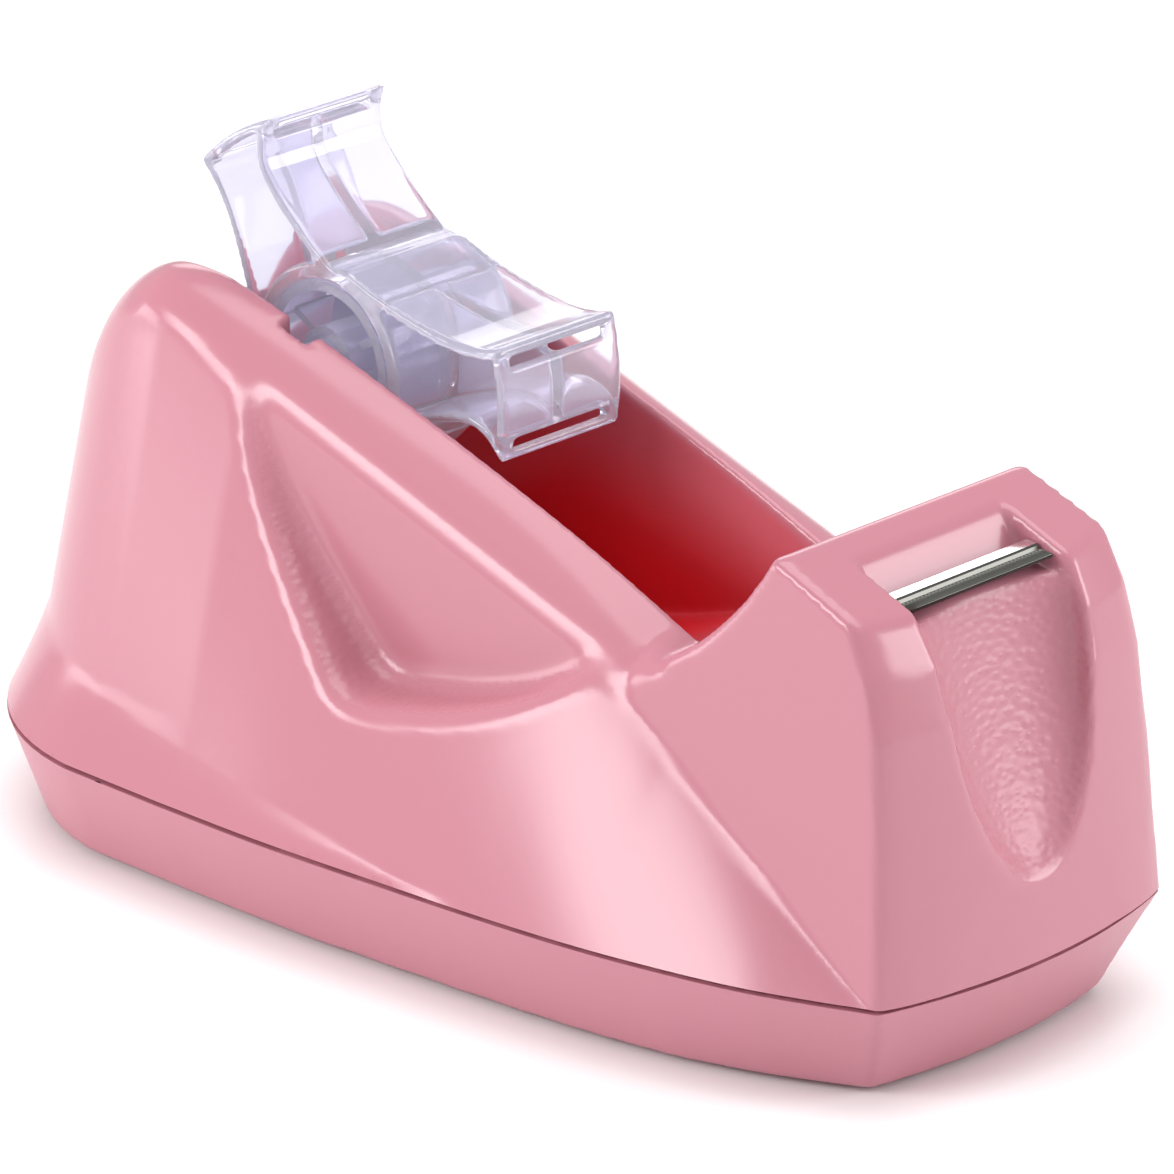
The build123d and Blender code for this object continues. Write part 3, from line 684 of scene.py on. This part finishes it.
def grain_and_painted_shade(mat):
    """Leather grain where the mesh says so, and painted shade, a deep red, down in the well and the groove."""
    tree = mat.node_tree
    shader = tree.nodes["Principled BSDF"]
    mix = tree.nodes.new("ShaderNodeMix")
    mix.data_type = "RGBA"
    mix.inputs["A"].default_value = PINK
    mix.inputs["B"].default_value = PAINTED_SHADE_RED
    tree.links.new(mesh_mask(tree, "painted_shade"), mix.inputs["Factor"])
    tree.links.new(mix.outputs["Result"], shader.inputs["Base Color"])
    dull = tree.nodes.new("ShaderNodeMapRange")
    dull.inputs["To Min"].default_value = shader.inputs["Roughness"].default_value
    dull.inputs["To Max"].default_value = GRAIN_ROUGHNESS
    tree.links.new(mesh_mask(tree, "grain"), dull.inputs["Value"])
    tree.links.new(dull.outputs["Result"], shader.inputs["Roughness"])
    coords = tree.nodes.new("ShaderNodeTexCoord")
    mapping = tree.nodes.new("ShaderNodeMapping")
    mapping.inputs["Scale"].default_value = GRAIN_STRETCH
    tree.links.new(coords.outputs["Object"], mapping.inputs["Vector"])
    cells = tree.nodes.new("ShaderNodeTexVoronoi")
    cells.feature = "SMOOTH_F1"
    cells.inputs["Scale"].default_value = GRAIN_SCALE
    tree.links.new(mapping.outputs["Vector"], cells.inputs["Vector"])
    bump = tree.nodes.new("ShaderNodeBump")
    bump.inputs["Distance"].default_value = GRAIN_DEPTH
    bump.invert = True
    tree.links.new(mesh_mask(tree, "grain"), bump.inputs["Strength"])
    tree.links.new(cells.outputs["Distance"], bump.inputs["Height"])
    tree.links.new(bump.outputs["Normal"], shader.inputs["Normal"])


body_mat = material("pink_plastic", Base_Color=PINK, Roughness=0.20)
grain_and_painted_shade(body_mat)
tray_mat = material("pink_tray", Base_Color=PINK, Roughness=0.38)
grain_and_painted_shade(tray_mat)
# The clear plastic glows faintly: painted light that lifts it towards a pale lavender white.
clear_mat = material(
    "clear_plastic",
    Base_Color=(0.82, 0.80, 0.92, 1),
    Roughness=0.07,
    IOR=1.45,
    Transmission_Weight=0.82,
    Emission_Color=(0.86, 0.84, 0.96, 1),
    Emission_Strength=0.035,
)
steel_mat = material("polished_steel", Base_Color=(0.86, 0.86, 0.85, 1), Roughness=0.14, Metallic=1.0)
# Dark steel for the blade's back slope and teeth: rougher ground steel, with painted shade where those faces
# turn away from the light.
shaded_edge_steel_mat = material("ground_steel_painted_shade", Base_Color=(0.12, 0.12, 0.11, 1), Roughness=0.30, Metallic=1.0)
dark_mat = material("dark_rubber", Base_Color=(0.02, 0.02, 0.02, 1), Roughness=0.7)


def paint(obj, mat):
    obj.data.materials.clear()
    obj.data.materials.append(mat)


def repaint(node, mat):
    for holder in nodes[node].material_slots:
        holder.material = mat


paint(shell_piece, body_mat)
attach(shell_piece, "housing")
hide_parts("upper_shell")

paint(tray_piece, tray_mat)
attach(tray_piece, "housing")
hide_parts("base_tray")

paint(blade_piece, steel_mat)
blade_piece.data.materials.append(shaded_edge_steel_mat)
# The back slope and the toothed edge get the darker steel, which paints shade on them.
bar_rear, bar_front = (BLADE_PROFILE[row][0] * MM for row in BAR_ROWS)
for face in blade_piece.data.polygons:
    face.material_index = int(face.center.x > bar_front or face.center.x < bar_rear)
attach(blade_piece, "housing")
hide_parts("cutter_blade")

paint(adapter_piece, clear_mat)
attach(adapter_piece, "hub")
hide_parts("large_core_adapter")

for node in ("spool_half_far", "spool_half_near", "hub_axle"):
    repaint(node, clear_mat)
for node in ("blade_clamp", "clamp_screws", "base_screws", "ballast_screws"):
    repaint(node, steel_mat)
for node in ("foot_front_left", "foot_front_right", "foot_rear_left", "foot_rear_right"):
    repaint(node, dark_mat)

# ---------------------------------------------------------------- floor, camera and light, in metres

FLOOR_HALF = 1.2
CAMERA_SPOT = (0.78456, -0.80720, 0.49078)
CAMERA_AZIMUTH = math.radians(43.94)
CAMERA_ELEVATION = math.radians(21.48)
CAMERA_LENS = 245.3
WORLD_STRENGTH = 0.55


def floor_piece():
    corners = [(x * FLOOR_HALF, y * FLOOR_HALF, 0) for x, y in ((-1, -1), (1, -1), (1, 1), (-1, 1))]
    mesh = bpy.data.meshes.new("floor")
    mesh.from_pydata(corners, [], [(0, 1, 2, 3)])
    mesh.materials.append(material("white_floor", Base_Color=(0.93, 0.93, 0.93, 1), Roughness=0.6))
    obj = bpy.data.objects.new("floor", mesh)
    bpy.context.scene.collection.objects.link(obj)
    return obj


def aimed_camera():
    data = bpy.data.cameras.new("camera")
    data.lens = CAMERA_LENS
    data.sensor_width = 36
    obj = bpy.data.objects.new("camera", data)
    bpy.context.scene.collection.objects.link(obj)
    flat = math.cos(CAMERA_ELEVATION)
    back = Vector(
        (math.sin(CAMERA_AZIMUTH) * flat, -math.cos(CAMERA_AZIMUTH) * flat, math.sin(CAMERA_ELEVATION))
    )
    right = Vector((math.cos(CAMERA_AZIMUTH), math.sin(CAMERA_AZIMUTH), 0))
    turn = Matrix((right, back.cross(right), back)).transposed().to_4x4()
    obj.matrix_world = Matrix.Translation(CAMERA_SPOT) @ turn
    return obj


def area_light(name, spot, target, size, power):
    data = bpy.data.lights.new(name, "AREA")
    data.shape = "RECTANGLE"
    data.size, data.size_y = size
    data.energy = power
    lamp = bpy.data.objects.new(name, data)
    lamp.location = spot
    lamp.rotation_euler = (Vector(spot) - Vector(target)).to_track_quat("Z", "Y").to_euler()
    bpy.context.scene.collection.objects.link(lamp)


floor = floor_piece()
bpy.context.scene.camera = aimed_camera()

world = bpy.data.worlds.new("world")
bpy.context.scene.world = world
world.use_nodes = True
world.node_tree.nodes["Background"].inputs["Color"].default_value = (1, 1, 1, 1)
world.node_tree.nodes["Background"].inputs["Strength"].default_value = WORLD_STRENGTH

area_light("front_box", (-0.46, -1.10, 0.60), (0, 0, 0.04), (0.75, 0.42), 9.5)
area_light("left_box", (-1.05, -0.60, 0.12), (0, 0, 0.05), (0.55, 0.35), 2.4)
area_light("top_box", (0.05, 0.1, 1.3), (0, 0, 0), (1.1, 1.1), 11)
area_light("right_box", (1.05, 0.85, 0.45), (0, 0, 0.04), (0.7, 0.6), 8.8)
area_light("back_box", (-0.95, 0.98, 0.60), (0, 0, 0.07), (0.7, 0.4), 2)

bpy.context.scene.view_settings.view_transform = "Standard"
